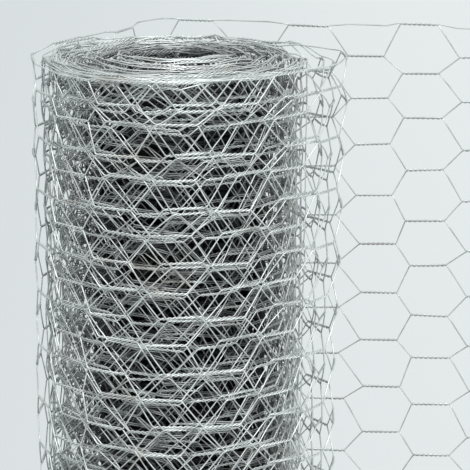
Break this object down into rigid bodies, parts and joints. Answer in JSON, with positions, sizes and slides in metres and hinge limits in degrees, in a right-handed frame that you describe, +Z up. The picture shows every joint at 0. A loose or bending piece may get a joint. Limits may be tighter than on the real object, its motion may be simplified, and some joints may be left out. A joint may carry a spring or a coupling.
{
  "type": "roll of chicken wire",
  "caption": "Standing roll of galvanised hexagonal wire netting with an open bore, a loose outer turn and a flat tail of mesh that leads off behind it.",
  "frame": {"origin": "centre of the coil's bore, on the floor that the roll stands on", "axes": "+Z up along the bore; -Y towards the front of the roll; the tail leads off towards +X behind the coil"},
  "size_m": [0.277, 0.1819, 0.5],
  "materials": {
    "galvanised_wire": "dull zinc coating, lightly spangled"
  },
  "bodies": {
    "root": {"netting_roll": "galvanised_wire"}
  },
  "joints": []
}
